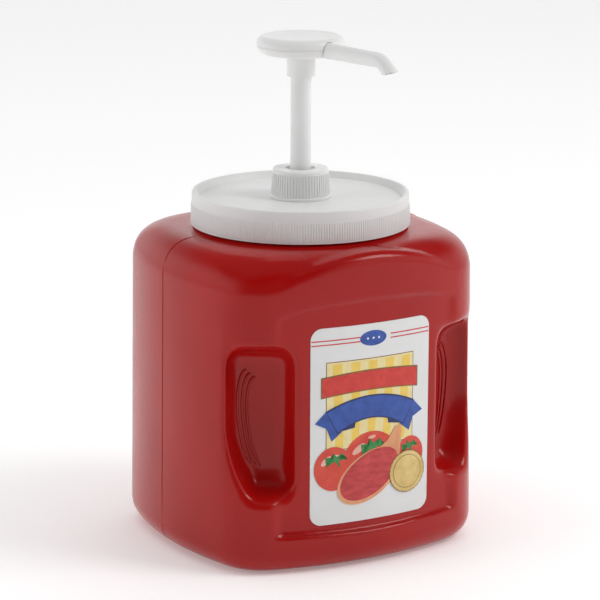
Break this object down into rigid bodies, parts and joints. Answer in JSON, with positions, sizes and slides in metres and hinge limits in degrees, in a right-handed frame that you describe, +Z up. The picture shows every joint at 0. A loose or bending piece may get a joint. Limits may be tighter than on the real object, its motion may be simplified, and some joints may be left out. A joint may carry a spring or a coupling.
{
  "type": "condiment pump dispenser",
  "caption": "Square jug with rounded shoulders and finger recesses, wide screw lid, and a push pump with round palm disc and level spout.",
  "frame": {"origin": "centre of the ring that the jug stands on, on the lid's and the pump's axis", "axes": "+Z up along the pump's axis, -Y out of the label face, +X to the right as the label is read"},
  "size_m": [0.1598, 0.1524, 0.2577],
  "materials": {
    "jug_plastic": "glossy deep red, opaque",
    "label_paper": "semi-gloss printed paper film",
    "lid_plastic": "satin white",
    "pump_plastic": "satin white",
    "housing_plastic": "natural milky white",
    "liner_foam": "matte foam",
    "seal_rubber": "matte, soft",
    "ball_steel": "polished",
    "spring_steel": "drawn wire"
  },
  "bodies": {
    "jug": {"jug_body": "jug_plastic", "front_label": "label_paper"},
    "lid_lifter": {"lid_liner": "liner_foam"},
    "lid": {"lid": "lid_plastic", "lid_gasket": "seal_rubber", "pump_housing": "housing_plastic", "inlet_body": "housing_plastic", "inlet_cage": "housing_plastic", "dip_tube": "housing_plastic", "return_spring": "spring_steel"},
    "collar_lifter": {"stem_guide": "pump_plastic", "stem_wiper": "seal_rubber"},
    "collar": {"pump_collar": "pump_plastic"},
    "inlet_valve": {"inlet_ball": "ball_steel"},
    "piston": {"piston": "housing_plastic", "piston_seal": "seal_rubber", "outlet_cage": "housing_plastic"},
    "outlet_valve": {"outlet_ball": "ball_steel"},
    "head": {"stem": "pump_plastic", "spout": "pump_plastic", "palm_cap": "pump_plastic", "palm_base": "pump_plastic"}
  },
  "joints": [
    {"name": "lid_lift", "type": "slide", "parent": "jug", "child": "lid_lifter", "axis": [0, 0, 1], "range_m": [0, 0.00508]},
    {"name": "lid_turn", "type": "hinge", "parent": "lid_lifter", "child": "lid", "pos_m": [0, 0, 0.162], "axis": [0, 0, 1], "range_deg": [0, 360]},
    {"name": "collar_lift", "type": "slide", "parent": "lid", "child": "collar_lifter", "axis": [0, 0, 1], "range_m": [0, 0.004]},
    {"name": "collar_turn", "type": "hinge", "parent": "collar_lifter", "child": "collar", "pos_m": [0, 0, 0.176], "axis": [0, 0, 1], "range_deg": [0, 360]},
    {"name": "pump_stroke", "type": "slide", "parent": "lid", "child": "piston", "axis": [0, 0, -1], "range_m": [0, 0.042], "stiffness_N_per_m": 300, "springref_m": -0.02, "deforming": ["return_spring"]},
    {"name": "head_swivel", "type": "hinge", "parent": "piston", "child": "head", "pos_m": [0, 0, 0.25], "axis": [0, 0, 1], "continuous": true},
    {"name": "inlet_ball_lift", "type": "slide", "parent": "lid", "child": "inlet_valve", "axis": [0, 0, 1], "range_m": [0, 0.003]},
    {"name": "outlet_ball_lift", "type": "slide", "parent": "piston", "child": "outlet_valve", "axis": [0, 0, 1], "range_m": [0, 0.0012]}
  ],
  "couplings": [
    {"joint": "lid_lift", "follows": "lid_turn", "m_per_rad": 0.00080851},
    {"joint": "collar_lift", "follows": "collar_turn", "m_per_rad": 0.00063662}
  ]
}
